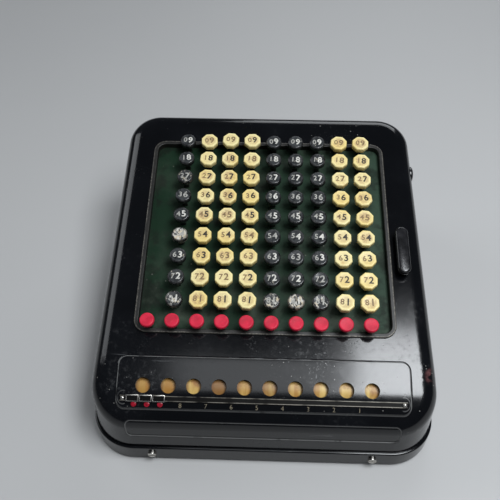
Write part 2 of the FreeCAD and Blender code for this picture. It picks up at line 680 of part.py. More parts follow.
def build():
    os.makedirs("parts", exist_ok=True)
    save("base_plate", base_plate())
    save("base_screws", base_screws())
    save("rubber_feet", rubber_feet())
    save("case_cover", case_cover())
    save("side_knob", side_knob())
    save("keyboard_rim", keyboard_rim())
    save("keyboard_plate", keyboard_plate())
    save("key_guide_plate", key_guide_plate())
    save("left_side_frame", side_frame(-1))
    save("right_side_frame", side_frame(1))
    save("tie_rods", tie_rods())
    save("wheel_shaft", wheel_shaft())
    save("lever_shaft", lever_shaft())
    save("column_levers", column_levers())
    save("decimal_rail", decimal_rail())
    save("rail_screws", rail_screws())
    save("clear_lever", clear_lever())
    save("clear_lever_grip", clear_lever_grip())
    save("lever_pivot_pin", lever_pivot_pin())
    black_columns = [column for column in range(1, COLUMNS + 1) if column not in CREAM_COLUMNS]
    for row in range(ROWS):
        digit = str(row + 1)
        save("keys_" + digit + "_cream", key_row(row, CREAM_COLUMNS, octagon, CREAM_CAP_FLATS,
                                                 CREAM_TABLE_FLATS, CREAM_CAP_THICKNESS))
        save("keys_" + digit + "_black", key_row(row, black_columns, circle, BLACK_CAP_DIAMETER,
                                                 BLACK_TABLE_DIAMETER, BLACK_CAP_THICKNESS))
    for column in range(COLUMNS + 1):
        save("red_key_" + str(column + 1), red_key(column))
        save("number_wheel_" + str(column + 1), number_wheel(column))
    for index in range(MARKERS):
        save("decimal_marker_" + str(index + 1), decimal_marker(index))


build()
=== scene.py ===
import json
import math
import random

import bpy
from mathutils import Matrix, Vector


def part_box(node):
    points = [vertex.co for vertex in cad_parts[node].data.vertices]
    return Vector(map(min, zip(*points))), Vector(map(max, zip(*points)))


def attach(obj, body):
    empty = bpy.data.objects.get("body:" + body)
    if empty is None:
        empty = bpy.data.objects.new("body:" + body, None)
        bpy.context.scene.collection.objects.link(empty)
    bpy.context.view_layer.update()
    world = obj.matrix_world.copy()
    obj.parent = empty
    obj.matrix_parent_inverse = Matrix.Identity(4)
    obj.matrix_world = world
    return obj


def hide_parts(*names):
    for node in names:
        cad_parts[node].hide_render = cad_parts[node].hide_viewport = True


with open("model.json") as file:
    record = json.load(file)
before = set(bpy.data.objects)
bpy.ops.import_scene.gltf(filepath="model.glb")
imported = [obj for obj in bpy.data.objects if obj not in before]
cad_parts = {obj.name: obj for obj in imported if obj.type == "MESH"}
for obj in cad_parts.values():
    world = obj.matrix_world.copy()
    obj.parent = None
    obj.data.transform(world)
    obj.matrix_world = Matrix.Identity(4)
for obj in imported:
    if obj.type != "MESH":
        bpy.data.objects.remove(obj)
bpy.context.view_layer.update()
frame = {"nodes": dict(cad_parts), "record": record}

# Sizes are in metres, in the frame's own axes
MM = 0.001

# The sloping deck and its grid of keys
COLUMN_PITCH = 19.05 * MM
ROW_PITCH = 19.1 * MM
RED_ROW_GAP = 18.0 * MM
GRID_SHIFT = 5.0 * MM
MIDDLE_COLUMN = 5
CREAM_COLUMNS = (2, 3, 4, 8, 9)
BLACK_COLUMNS = (1, 5, 6, 7)
ROWS = 9
WINDOWS = 10
DECK_SLOPE = math.radians(15.0)
FIRST_ROW = Vector((0, -58.6 * MM, 83.5 * MM))
CAP_TOP = 13.0 * MM
CAP_SETBACK = CAP_TOP * math.sin(DECK_SLOPE)
DECK_START = FIRST_ROW + Vector((0, CAP_SETBACK, CAP_SETBACK * math.tan(DECK_SLOPE)))
DECK = Matrix.Translation(DECK_START) @ Matrix.Rotation(DECK_SLOPE, 4, "X")
OPENING_HALF = Vector((101.0 * MM, 90.5 * MM))
OPENING_CENTRE = 68.0 * MM
OPENING_CORNER = 9.0 * MM

# Key caps, from the table down
ROUND_SIDES = 40
CREAM_SIDES = 8
CREAM_FLATS = 14.0 * MM
CREAM_RADIUS = CREAM_FLATS / 2 / math.cos(math.pi / CREAM_SIDES)
CREAM_THICKNESS = 5.0 * MM
CREAM_TABLE_SHARE = 0.92
BLACK_DIAMETER = 13.4 * MM
BLACK_THICKNESS = 4.8 * MM
BLACK_TABLE_SHARE = 0.88
DIGIT_CAP_BEVEL = 0.8 * MM
DIGIT_CAP_DISH = 0.25 * MM
RED_DIAMETER = 11.4 * MM
RED_THICKNESS = 3.6 * MM
RED_TABLE_SHARE = 0.88
RED_BEVEL = 0.7 * MM
RED_DISH = 0.12 * MM
TABLE_RIM_SHARE = 0.10
DISH_SLOPE_SHARE = 0.22
CAP_ROUNDING = 0.32 * MM
CAP_EDGE_ANGLE = 20.0

# Where fingers grime a cap's table, as shares of its radius, and where its side begins, of its thickness
GRIME_REACH = 0.55
GRIME_FADE = 3.5
SIDE_START = 0.4
SIDE_SPAN = 0.4

# Key stems, from the cap's table down
STEM_FOOT = -30.0 * MM - CAP_TOP
STEM_HEAD = -4.2 * MM
STEM_WIDTH = 4.3 * MM
STEM_DEPTH = 1.8 * MM
STEM_SHOULDER = 0.2 * MM
STEM_SPREAD_HEIGHT = 0.4 * MM
STEM_SPREAD = (1.4, 2.2, 1)
STEM_ROUNDING = 0.2 * MM

# Digits on the caps
DIGIT_SIZE = 8.0 * MM
DIGIT_WEIGHT = 0.20 * MM
DIGIT_X = 2.0 * MM
COMPLEMENT_SIZE = 6.6 * MM
COMPLEMENT_WEIGHT = 0.11 * MM
COMPLEMENT_X = -2.4 * MM
INK_LIFT = 0.04 * MM
INK_DEPTH = 0.23 * MM

# How the keys have aged, by column and digit where they differ
HEAVY_WEAR = {(1, 1): 0.75, (5, 1): 0.8, (6, 1): 0.95, (7, 1): 0.7,
              (1, 4): 0.95, (1, 7): 0.6, (1, 2): 0.45, (6, 2): 0.4}
LIGHT_WEAR = 0.3
CREAM_WEAR = (0.35, 1.0)
FADED_SHARE = 0.35
RAISED = {(3, 9): 2.0 * MM, (4, 9): 1.6 * MM}
TURN_SPREAD = math.radians(6.0)
TILT_SPREAD = math.radians(1.6)
LIFT_SPREAD = 0.25 * MM

# The curved register face, its raised panel and the recess on the front wall
REGISTER_START = 39.0 * MM
REGISTER_RADIUS = 100.0 * MM
PANEL_RISE = 0.8 * MM
PANEL_HALF = Vector((110.0 * MM, 17.6 * MM))
PANEL_CENTRE_Y = -114.7 * MM
PANEL_CORNER = 6.0 * MM
RECESS_HALF = Vector((103.0 * MM, 8.65 * MM))
RECESS_CENTRE_Z = 41.35 * MM
RECESS_CORNER = 4.0 * MM
BROWN_WHEELS = {3: 0.65, 5: 0.4}

# The decimal rail, its numbers and its screws
RAIL_DISTANCE = 67.1 * MM
RAIL_SCREW_X = 104.8 * MM
RAIL_SCREW_SEAT = 1.3 * MM
RAIL_SCREW_RADIUS = 1.5 * MM
RAIL_SCREW_RISE = 1.125 * MM
RAIL_SCREW_SKIRT = 0.5 * MM
NUMBER_DISTANCE = 71.2 * MM
NUMBER_SIZE = 4.8 * MM
NUMBER_WEIGHT = -0.05 * MM
LAST_NUMBER = 8

# Decimal markers
MARKERS = 3
MARKER_LENGTH = 9.5 * MM
MARKER_WIDTH = 5.2 * MM
MARKER_THICKNESS = 1.0 * MM
MARKER_TOP = 2.52 * MM
MARKER_FRAME = 0.75 * MM
MARKER_POCKET = 0.6 * MM
POCKET_MARGIN = 0.05 * MM
PLATE_ROUNDING = 0.16 * MM
TONGUE_SIZE = Vector((MARKER_LENGTH - 0.4 * MM, 2.4 * MM, 0.6 * MM))
TONGUE_ROUNDING = 0.12 * MM
MARKER_OPENING_MARGIN = 1.6 * MM
MARKER_OPENING_THICKNESS = 0.1 * MM
MARKER_OPENING_DEPTH = 0.02 * MM
MARKER_OPENING_ROUNDING = 0.03 * MM
DOT_SIDES = 24
DOT_RADIUS = 2.1 * MM
DOT_THICKNESS = 0.4 * MM
DOT_RIM = 0.5 * MM
DOT_RISE = 0.15 * MM
DOT_ROUNDING = 0.1 * MM
DOT_PLACE = Vector((1.2 * MM, -4.2 * MM, -0.85 * MM))

# The clearing lever's grip, in the deck's axes, and the knob on the right wall
GRIP_CENTRE = Vector((111.1 * MM, 49.2 * MM, 7.2 * MM))
GRIP_LENGTH = 42.4 * MM
GRIP_WIDTH = 10.6 * MM
GRIP_THICKNESS = 6.0 * MM
GRIP_ROUNDING = 2.0 * MM
GRIP_SIDES = 32
KNOB_CENTRE = Vector((129.1 * MM, 82.4 * MM, 106.0 * MM))
KNOB_RADIUS = 7.5 * MM
KNOB_RISE = 2.5 * MM
KNOB_SKIRT = 1.5 * MM

# Modelling: facets, angles and the reach within which vertices merge
GLYPH_RESOLUTION = 3
DOME_SEGMENTS = 32
DOME_RINGS = 16
EDGE_ANGLE = 35.0
SMOOTH_ANGLE = math.radians(40.0)
FACING = 0.9
MERGE_REACH = 0.001 * MM

# The Mix node's colour sockets, and how much of a speck is solid
MIX_COLOURS = (6, 7)
MIX_RESULT = 2
SPECK_CORE = 0.6

# The photograph's camera
PHOTO_PIXELS = 500
LENS_PIXELS = 640
SENSOR_WIDTH = 36.0
CAMERA_LENS = SENSOR_WIDTH * LENS_PIXELS / PHOTO_PIXELS
CAMERA_PLACE = Vector((-1.5 * MM, -366.9 * MM, 486.8 * MM))
CAMERA_YAW = math.radians(-1.885)
CAMERA_PITCH = math.radians(47.2)
CAMERA_ROLL = math.radians(0.12)

# The studio: lamps with their place, target, width, length and watts
FLOOR_SIZE = 6.0
SKY_COLOUR = (0.80, 0.88, 1.0, 1)
SKY_STRENGTH = 0.06
LAMP_COLOUR = (0.93, 0.965, 1.0)
LAMP_TARGET = Vector((0, 0, 0.08))
LAMPS = {
    "window_lamp": (Vector((0.43, -0.33, 1.20)), None, 0.40, 0.74, 15.0),
    "ceiling_lamp": (Vector((0.00, -0.38, 1.20)), None, 0.46, 0.66, 1.7),
    "back_lamp": (Vector((0.35, 1.25, 0.85)), LAMP_TARGET, 0.9, 0.7, 5.0),
    "left_lamp": (Vector((-1.10, 0.45, 0.90)), LAMP_TARGET, 0.8, 0.8, 4.0),
}

DICE_SEED = 9
dice = random.Random(DICE_SEED)


def column_x(column):
    return (column - MIDDLE_COLUMN) * COLUMN_PITCH + GRID_SHIFT


def register_frame(distance):
    """A frame lying on the curved register face, at a distance in front of the first key row."""
    slope = math.asin(math.sin(DECK_SLOPE) + (distance - REGISTER_START) / REGISTER_RADIUS)
    start = FIRST_ROW.z - REGISTER_START * math.tan(DECK_SLOPE)
    height = start - REGISTER_RADIUS * (math.cos(DECK_SLOPE) - math.cos(slope))
    return Matrix.Translation((0, FIRST_ROW.y - distance, height)) @ Matrix.Rotation(slope, 4, "X")


class Value:
    """A shader socket that takes part in Python expressions."""

    def __init__(self, finish, socket):
        self.finish = finish
        self.socket = socket

    def math(self, operation, *others):
        inputs = dict(enumerate((self,) + others))
        return self.finish.node("ShaderNodeMath", {"operation": operation}, inputs)

    def __add__(self, other):
        return self.math("ADD", other)

    def __sub__(self, other):
        return self.math("SUBTRACT", other)

    def __mul__(self, other):
        return self.math("MULTIPLY", other)

    def __truediv__(self, other):
        return self.math("DIVIDE", other)

    def __rsub__(self, other):
        return self.finish.node("ShaderNodeMath", {"operation": "SUBTRACT"}, {0: other, 1: self})

    __radd__ = __add__
    __rmul__ = __mul__

    def over(self, low, high):
        """0 below low and 1 above high, smoothly; the other way round where low is above high."""
        return self.finish.node("ShaderNodeMapRange", {"interpolation_type": "SMOOTHSTEP"},
                                {"Value": self, "From Min": low, "From Max": high})

    def abs(self):
        return self.math("ABSOLUTE")

    def max(self, other):
        return self.math("MAXIMUM", other)

    def min(self, other):
        return self.math("MINIMUM", other)


class Finish:
    """A material made from nodes, around one Principled shader."""

    def __init__(self, name, **constants):
        self.material = bpy.data.materials.new(name)
        self.material.use_nodes = True
        self.tree = self.material.node_tree
        self.shader = self.tree.nodes["Principled BSDF"]
        for socket, value in constants.items():
            self.shader.inputs[socket.replace("_", " ")].default_value = value
        self.place = self.node("ShaderNodeTexCoord", out="Object")

    def node(self, kind, settings=None, inputs=None, out=0):
        made = self.tree.nodes.new(kind)
        for name, value in (settings or {}).items():
            setattr(made, name, value)
        for name, value in (inputs or {}).items():
            socket = made.inputs[name]
            if isinstance(value, Value):
                self.tree.links.new(value.socket, socket)
            else:
                socket.default_value = value
        return Value(self, made.outputs[out])

    def noise(self, scale, detail=4.0, roughness=0.55, stretch=None):
        vector = self.place
        if stretch:
            vector = self.node("ShaderNodeMapping", None, {"Vector": vector, "Scale": stretch})
        inputs = {"Vector": vector, "Scale": scale, "Detail": detail, "Roughness": roughness}
        return self.node("ShaderNodeTexNoise", None, inputs, "Fac")

    def specks(self, scale, size):
        """Round dots strewn over the surface, 1 inside each."""
        inputs = {"Vector": self.place, "Scale": scale}
        distance = self.node("ShaderNodeTexVoronoi", None, inputs, "Distance")
        return distance.over(size, size * SPECK_CORE)

    def mix(self, factor, first, second):
        colours = {0: factor}
        for socket, colour in zip(MIX_COLOURS, (first, second)):
            colours[socket] = colour if isinstance(colour, Value) else (*colour, 1)
        return self.node("ShaderNodeMix", {"data_type": "RGBA"}, colours, MIX_RESULT)

    def axes(self):
        parts = self.tree.nodes.new("ShaderNodeSeparateXYZ")
        self.tree.links.new(self.place.socket, parts.inputs[0])
        return [Value(self, output) for output in parts.outputs]

    def frame_axes(self, place):
        """The distances along and above the face of a frame that is tilted about X."""
        _, y, z = self.axes()
        start = place.translation
        slope = place.to_euler().x
        along = (y - start.y) * math.cos(slope) + (z - start.z) * math.sin(slope)
        above = (z - start.z) * math.cos(slope) - (y - start.y) * math.sin(slope)
        return along, above

    def attribute(self, name):
        return self.node("ShaderNodeAttribute", {"attribute_name": name}, None, "Fac")

    def set(self, **links):
        for name, value in links.items():
            self.tree.links.new(value.socket, self.shader.inputs[name.replace("_", " ")])
        return self.material

    def bump(self, height, strength, depth, under=None):
        """A normal from a height, on top of another normal where one is given."""
        inputs = {"Height": height, "Strength": strength, "Distance": depth}
        if under:
            inputs["Normal"] = under
        return self.node("ShaderNodeBump", None, inputs)


def far(across, along):
    """Distance from the origin of two axes."""
    return (across * across + along * along).math("SQRT")


def box_edge(across, along, centre, half, corner):
    """Distance from the outline of a rectangle with round corners, below 0 inside."""
    out_x = across.abs() - (half[0] - corner)
    out_y = (along - centre).abs() - (half[1] - corner)
    return far(out_x.max(0.0), out_y.max(0.0)) + out_x.max(out_y).min(0.0) - corner


def pressed_borders(finish):
    """The steps round the register panel and the recess, and where they and the rail's ends are rubbed."""
    rubbed_line = (0.6 * MM, 0.15 * MM)
    ring_radius = 4.2 * MM
    x, y, z = finish.axes()
    on_top = z.over(50.0 * MM, 56.0 * MM)
    on_front = y.over(-125.0 * MM, -132.0 * MM)
    off_front = y.over(-50.0 * MM, 0.0)
    upper = y.over(-131.0 * MM, -126.0 * MM) * 0.6 + 0.4
    panel = box_edge(x, y, PANEL_CENTRE_Y, PANEL_HALF, PANEL_CORNER)
    recess = box_edge(x, z, RECESS_CENTRE_Z, RECESS_HALF, RECESS_CORNER)
    steps = panel.over(1.3 * MM, -0.6 * MM) + recess.over(-0.6 * MM, 1.0 * MM).max(off_front)
    on_panel = panel.abs().over(*rubbed_line) * on_top * upper
    on_recess = recess.abs().over(*rubbed_line) * on_front * 0.5
    beyond = x.abs() - RAIL_SCREW_X
    from_screw = far(beyond, y - register_frame(RAIL_DISTANCE).translation.y)
    ring = (from_screw - ring_radius).abs().over(0.5 * MM, 0.15 * MM)
    on_ring = ring * beyond.over(-2.0 * MM, -0.5 * MM) * on_top * 0.3
    rubbed = (on_panel * 0.8 + on_recess + on_ring) * finish.noise(70.0, detail=3.0).over(0.22, 0.48)
    return steps, rubbed


def black_enamel():
    """Gloss stove enamel with dust, scratches, pits and chips, rubbed on the pressed borders."""
    deep_black = (0.0022, 0.0025, 0.0034)
    soft_black = (0.0045, 0.005, 0.0065)
    dust_grey = (0.16, 0.165, 0.17)
    bare_edge = (0.22, 0.22, 0.215)
    chip_grey = (0.36, 0.35, 0.32)
    red_primer = (0.40, 0.16, 0.16)
    primer_place = Vector((126.5 * MM, -105.0 * MM, 66.0 * MM))
    finish = Finish("black_enamel", IOR=1.5)
    steps, rubbed = pressed_borders(finish)
    cloud = finish.noise(14.0, detail=5.0)
    grain = finish.noise(260.0, detail=3.0)
    dust = cloud.over(0.5, 0.8) * grain.over(0.52, 0.72) * 0.16
    pitted = finish.noise(24.0, roughness=0.7).over(0.47, 0.66)
    pits = finish.noise(620.0, detail=2.0).over(0.60, 0.72) * pitted
    scratch = finish.noise(30.0, detail=2.0, roughness=0.5, stretch=(1.0, 22.0, 9.0)).over(0.735, 0.76)
    scratch = scratch * finish.noise(20.0, detail=2.0).over(0.52, 0.62) * 0.3
    flecks = finish.specks(190.0, 0.10) * finish.noise(11.0, detail=2.0).over(0.54, 0.68)
    from_primer = finish.node("ShaderNodeVectorMath", {"operation": "DISTANCE"},
                              {0: finish.place, 1: primer_place}, "Value")
    primer = from_primer.over(8.0 * MM, 2.0 * MM) * finish.noise(90.0).over(0.42, 0.6)
    colour = finish.mix(cloud.over(0.35, 0.75), deep_black, soft_black)
    colour = finish.mix(dust + scratch, colour, dust_grey)
    colour = finish.mix(rubbed, colour, bare_edge)
    colour = finish.mix(flecks * 0.7, colour, chip_grey)
    colour = finish.mix(primer * 0.8, colour, red_primer)
    rough = cloud * 0.10 + grain * 0.05 + dust * 1.2 + (rubbed + flecks) * 0.35 + pits * 0.3 + 0.06
    ripple = finish.noise(38.0, detail=2.0) * 0.6 + grain * 0.10 - flecks * 0.5 - pits * 0.45
    border = finish.bump(steps, strength=0.7, depth=1.0 * MM)
    surface = finish.bump(ripple, strength=0.12, depth=0.4 * MM, under=border)
    return finish.set(Base_Color=colour, Roughness=rough, Normal=surface)


def green_enamel():
    """Dull green enamel with painted light that makes it paler towards the right, dusty towards the front
    and dirty between the keys.
    """
    shaded_deep_green = (0.0024, 0.018, 0.0068)
    lit_pale_green = (0.034, 0.063, 0.042)
    dirt_black = (0.006, 0.009, 0.006)
    dust_green = (0.085, 0.105, 0.078)
    crumb_grey = (0.25, 0.25, 0.22)
    finish = Finish("green_enamel", Specular_IOR_Level=0.14)
    x, y, _ = finish.axes()
    dirt = finish.noise(55.0, detail=6.0, roughness=0.65)
    patch = finish.noise(12.0, detail=3.0)
    # Painted light: the plate is made paler towards the right, where the light falls, mixed with random
    # patches
    pale = (x.over(-60.0 * MM, 110.0 * MM) * 0.75 + patch * 0.25).min(1.0)
    near_front = y.over(-10.0 * MM, -75.0 * MM) * 0.4 + 0.15
    dust = finish.noise(26.0, detail=5.0, roughness=0.65).over(0.44, 0.68) * near_front
    crumbs = finish.specks(160.0, 0.12) * patch.over(0.45, 0.6)
    colour = finish.mix(pale, shaded_deep_green, lit_pale_green)
    colour = finish.mix(dirt.over(0.44, 0.64) * 0.8, colour, dirt_black)
    colour = finish.mix(dust, colour, dust_green)
    colour = finish.mix(crumbs * 0.5, colour, crumb_grey)
    surface = finish.bump(dirt, strength=0.15, depth=0.2 * MM)
    return finish.set(Base_Color=colour, Roughness=dirt * 0.3 + 0.4, Normal=surface)


def rim_metal():
    """Dulled plating, browned and grimy, and rubbed bright along its crest."""
    browned = (0.014, 0.013, 0.011)
    grimed = (0.005, 0.0047, 0.004)
    bright = (0.20, 0.185, 0.16)
    finish = Finish("rim_metal")
    along, above = finish.frame_axes(DECK)
    across = finish.axes()[0]
    edge = box_edge(across, along, OPENING_CENTRE, OPENING_HALF, OPENING_CORNER)
    blot = finish.noise(60.0, detail=5.0)
    fine = finish.noise(400.0, detail=3.0)
    grit = finish.noise(650.0, detail=3.0, roughness=0.6).over(0.40, 0.62) * 0.8 + 0.2
    crest = above.over(1.1 * MM, 1.5 * MM) * edge.over(0.3 * MM, 0.8 * MM) * blot.over(0.3, 0.5) * grit
    colour = finish.mix(blot.over(0.35, 0.68), browned, grimed)
    colour = finish.mix(crest * 0.85 + fine.over(0.62, 0.78) * 0.08, colour, bright)
    surface = finish.bump(fine, strength=0.2, depth=0.1 * MM)
    return finish.set(Base_Color=colour, Metallic=crest * 0.6, Roughness=fine * 0.25 + 0.32, Normal=surface)


def rail_metal():
    """A blackened groove between two lips that the markers have rubbed bright."""
    groove_black = (0.003, 0.003, 0.003)
    groove_brown = (0.010, 0.009, 0.008)
    bright = (0.30, 0.28, 0.24)
    finish = Finish("rail_metal", Specular_IOR_Level=0.15)
    along, _ = finish.frame_axes(register_frame(RAIL_DISTANCE))
    blot = finish.noise(90.0)
    lips = along.abs().over(1.35 * MM, 1.6 * MM) * blot.over(0.3, 0.55)
    colour = finish.mix(blot, groove_black, groove_brown)
    colour = finish.mix(lips * 0.85, colour, bright)
    return finish.set(Base_Color=colour, Metallic=lips * 0.6, Roughness=blot * 0.2 + 0.25)


def nickel():
    """Nickel plating with dull brown blots."""
    bright = (0.60, 0.58, 0.54)
    browned = (0.24, 0.21, 0.17)
    finish = Finish("worn_nickel")
    blot = finish.noise(220.0)
    fine = finish.noise(1500.0, detail=3.0)
    colour = finish.mix(blot.over(0.5, 0.72), bright, browned)
    surface = finish.bump(fine, strength=0.15, depth=0.05 * MM)
    metal = blot.over(0.85, 0.55)
    return finish.set(Base_Color=colour, Metallic=metal, Roughness=fine * 0.2 + 0.18, Normal=surface)


def frame_steel():
    """Brushed steel under a film of old oil."""
    clean_steel = (0.30, 0.30, 0.30)
    oil_brown = (0.13, 0.11, 0.09)
    finish = Finish("oiled_steel")
    blot = finish.noise(35.0, detail=5.0)
    brushed = finish.noise(40.0, detail=3.0, roughness=0.6, stretch=(1.0, 1.0, 30.0))
    colour = finish.mix(blot.over(0.45, 0.75), clean_steel, oil_brown)
    surface = finish.bump(brushed, strength=0.1, depth=0.1 * MM)
    metal = blot.over(0.9, 0.6)
    return finish.set(Base_Color=colour, Metallic=metal, Roughness=brushed * 0.25 + 0.28, Normal=surface)


def cream_celluloid():
    """Yellowed celluloid: bright rims, and dishes that fingers have stained and smudged."""
    pale_cream = (0.92, 0.80, 0.40)
    deep_cream = (0.88, 0.69, 0.26)
    stain_tan = (0.62, 0.38, 0.12)
    smudge_brown = (0.44, 0.26, 0.14)
    side_amber = (0.70, 0.42, 0.12)
    finish = Finish("cream_celluloid", IOR=1.5)
    stain = finish.noise(95.0, detail=5.0, roughness=0.6)
    fine = finish.noise(900.0)
    smudge = finish.noise(330.0, detail=5.0, roughness=0.65)
    key_tone = finish.noise(31.0, detail=1.0)
    dish = finish.attribute("grime") * finish.attribute("wear") * smudge.over(0.30, 0.58)
    side = finish.attribute("side") * fine.over(0.3, 0.65)
    colour = finish.mix(key_tone.over(0.38, 0.68), pale_cream, deep_cream)
    colour = finish.mix(stain.over(0.54, 0.74) * 0.5, colour, stain_tan)
    colour = finish.mix(dish * 0.8, colour, smudge_brown)
    colour = finish.mix(side * 0.35, colour, side_amber)
    surface = finish.bump(fine, strength=0.12, depth=0.08 * MM)
    return finish.set(Base_Color=colour, Roughness=fine * 0.18 + 0.24, Normal=surface)


def black_celluloid():
    """Black caps with a dulled table and a painted highlight round the table's edge, rubbed to chalk where
    the wear is heavy.
    """
    side_black = (0.005, 0.005, 0.006)
    side_grey = (0.014, 0.014, 0.015)
    table_black = (0.012, 0.013, 0.015)
    table_grey = (0.052, 0.056, 0.060)
    worn_grey = (0.065, 0.066, 0.062)
    highlight_grey = (0.15, 0.155, 0.155)
    chalk_white = (0.72, 0.70, 0.64)
    chalk_tan = (0.62, 0.52, 0.36)
    finish = Finish("black_celluloid", IOR=1.5)
    cloud = finish.noise(240.0, detail=5.0, roughness=0.65)
    fine = finish.noise(1300.0, detail=3.0)
    strokes = finish.noise(340.0, detail=5.0, roughness=0.7, stretch=(1.0, 0.5, 1.0))
    wear = finish.attribute("wear")
    grime = finish.attribute("grime")
    rubbed = (strokes + wear * 0.26 - 0.70).over(0.0, 0.08) * (grime.over(0.0, 0.3) * 0.75 + 0.25)
    # Painted highlight: a pale grey ring round the edge of each cap's table
    edge = (1.0 - grime) * (1.0 - finish.attribute("side")) * strokes.over(0.40, 0.60)
    side = finish.mix(cloud, side_black, side_grey)
    table = finish.mix(cloud.over(0.35, 0.65), table_black, table_grey)
    table = finish.mix(wear * 0.4, table, worn_grey)
    chalk = finish.mix(cloud.over(0.4, 0.6), chalk_white, chalk_tan)
    colour = finish.mix(grime.over(0.0, 0.12), side, table)
    colour = finish.mix(edge * 0.25, colour, highlight_grey)
    colour = finish.mix(rubbed * 0.9, colour, chalk)
    surface = finish.bump(fine, strength=0.1, depth=0.06 * MM)
    return finish.set(Base_Color=colour, Roughness=rubbed * 0.4 + fine * 0.12 + 0.13, Normal=surface)


def red_celluloid():
    """Red caps, a little faded, with fine pale scuffs."""
    bright_red = (0.70, 0.022, 0.060)
    deep_red = (0.50, 0.014, 0.040)
    scuff_pink = (0.66, 0.16, 0.19)
    finish = Finish("red_celluloid", Specular_IOR_Level=0.25)
    cloud = finish.noise(130.0)
    fine = finish.noise(900.0)
    colour = finish.mix(cloud.over(0.35, 0.7), bright_red, deep_red)
    colour = finish.mix(fine.over(0.62, 0.75) * 0.4, colour, scuff_pink)
    surface = finish.bump(fine, strength=0.12, depth=0.08 * MM)
    return finish.set(Base_Color=colour, Roughness=fine * 0.25 + 0.30, Normal=surface)


def wheel_ivory():
    """Number wheels in ivory-coloured celluloid, blotched with brown, two of them browned all over, with
    painted shade darkening each wheel towards its sides.
    """
    pale_ivory = (0.74, 0.51, 0.16)
    deep_ivory = (0.50, 0.28, 0.07)
    streak_tan = (0.42, 0.19, 0.035)
    blot_brown = (0.30, 0.12, 0.03)
    wheel_brown = (0.17, 0.065, 0.022)
    painted_shade_brown = (0.20, 0.085, 0.02)
    wheel_middle = 0.5
    finish = Finish("wheel_ivory", IOR=1.5)
    blot = finish.noise(130.0, roughness=0.6)
    streak = finish.noise(160.0, detail=3.0, stretch=(1.0, 0.12, 0.12))
    tone = finish.noise(42.0, detail=1.0)
    x = finish.axes()[0]
    colour = finish.mix(tone.over(0.4, 0.62), pale_ivory, deep_ivory)
    colour = finish.mix(streak.over(0.42, 0.62) * 0.75, colour, streak_tan)
    colour = finish.mix(blot.over(0.50, 0.70) * 0.8, colour, blot_brown)
    for column, share in BROWN_WHEELS.items():
        on_wheel = (x - column_x(column)).abs().over(9.0 * MM, 8.0 * MM)
        colour = finish.mix(on_wheel * share, colour, wheel_brown)
    # Painted shade: each wheel is darkened towards its two sides, as in the recess behind its window
    across = ((x - GRID_SHIFT) / COLUMN_PITCH + wheel_middle).math("FRACT")
    edge = ((across - wheel_middle) * COLUMN_PITCH).abs().over(2.6 * MM, 5.6 * MM)
    colour = finish.mix(edge * 0.75, colour, painted_shade_brown)
    surface = finish.bump(blot, strength=0.15, depth=0.2 * MM)
    return finish.set(Base_Color=colour, Roughness=blot * 0.2 + 0.3, Normal=surface)


def plain_finish(name, first, second, rough, scale, specular=0.5):
    """One tone that mottles into a second."""
    finish = Finish(name, Specular_IOR_Level=specular)
    mottle = finish.noise(scale)
    colour = finish.mix(mottle.over(0.35, 0.7), first, second)
    return finish.set(Base_Color=colour, Roughness=mottle * 0.2 + rough)


# Plain finishes: two tones, the least roughness, the mottling's scale and a specular level where it is low
PLAIN_FINISHES = {
    "grip_black": ((0.006, 0.006, 0.007), (0.014, 0.014, 0.016), 0.10, 120.0),
    "foot_rubber": ((0.016, 0.016, 0.016), (0.035, 0.034, 0.032), 0.6, 300.0),
    "dark_ink": ((0.018, 0.014, 0.010), (0.055, 0.040, 0.026), 0.45, 500.0),
    "white_ink": ((0.74, 0.72, 0.66), (0.46, 0.45, 0.41), 0.45, 500.0),
    "grey_ink": ((0.46, 0.45, 0.41), (0.24, 0.235, 0.22), 0.45, 500.0),
    "tan_ink": ((0.16, 0.10, 0.045), (0.30, 0.20, 0.09), 0.45, 500.0),
    "gilt_ink": ((0.30, 0.25, 0.16), (0.11, 0.095, 0.07), 0.45, 400.0),
    "opening_black": ((0.002, 0.002, 0.002), (0.004, 0.004, 0.004), 0.5, 300.0, 0.1),
    "dot_red": ((0.40, 0.010, 0.028), (0.22, 0.006, 0.015), 0.12, 700.0),
    "stem_black": ((0.010, 0.010, 0.010), (0.030, 0.028, 0.025), 0.35, 300.0),
}

FINISHES = {
    "black_enamel": black_enamel(),
    "green_plate": green_enamel(),
    "rim_metal": rim_metal(),
    "rail": rail_metal(),
    "nickel": nickel(),
    "frame_steel": frame_steel(),
    "cream_cap": cream_celluloid(),
    "black_cap": black_celluloid(),
    "red_cap": red_celluloid(),
    "wheel_ivory": wheel_ivory(),
    **{name: plain_finish(name, *look) for name, look in PLAIN_FINISHES.items()},
}


def paint_cad_nodes():
    """Gives every CAD node the finish of its slot, and the rail its own."""
    for row in frame["record"]["subparts"]:
        node = frame["nodes"][row["node"]]
        node.data.materials.clear()
        node.data.materials.append(FINISHES[row["material_slot"]])
    rail = frame["nodes"]["decimal_rail"].data.materials
    rail.clear()
    rail.append(FINISHES["rail"])


def start():
    """Back to object mode with nothing selected."""
    if bpy.context.object and bpy.context.object.mode != "OBJECT":
        bpy.ops.object.mode_set(mode="OBJECT")
    bpy.ops.object.select_all(action="DESELECT")


def apply_place():
    bpy.ops.object.transform_apply(location=True, rotation=True, scale=True)


def select_none(kind):
    """In edit mode, clears the selection, then leaves object mode for the code to select in."""
    bpy.ops.object.mode_set(mode="EDIT")
    bpy.ops.mesh.select_mode(type=kind)
    bpy.ops.mesh.select_all(action="DESELECT")
    bpy.ops.object.mode_set(mode="OBJECT")


def select_faces(piece, test):
    """In edit mode, selects the faces whose normal passes a test."""
    select_none("FACE")
    for face in piece.data.polygons:
        face.select = test(face.normal)
    bpy.ops.object.mode_set(mode="EDIT")


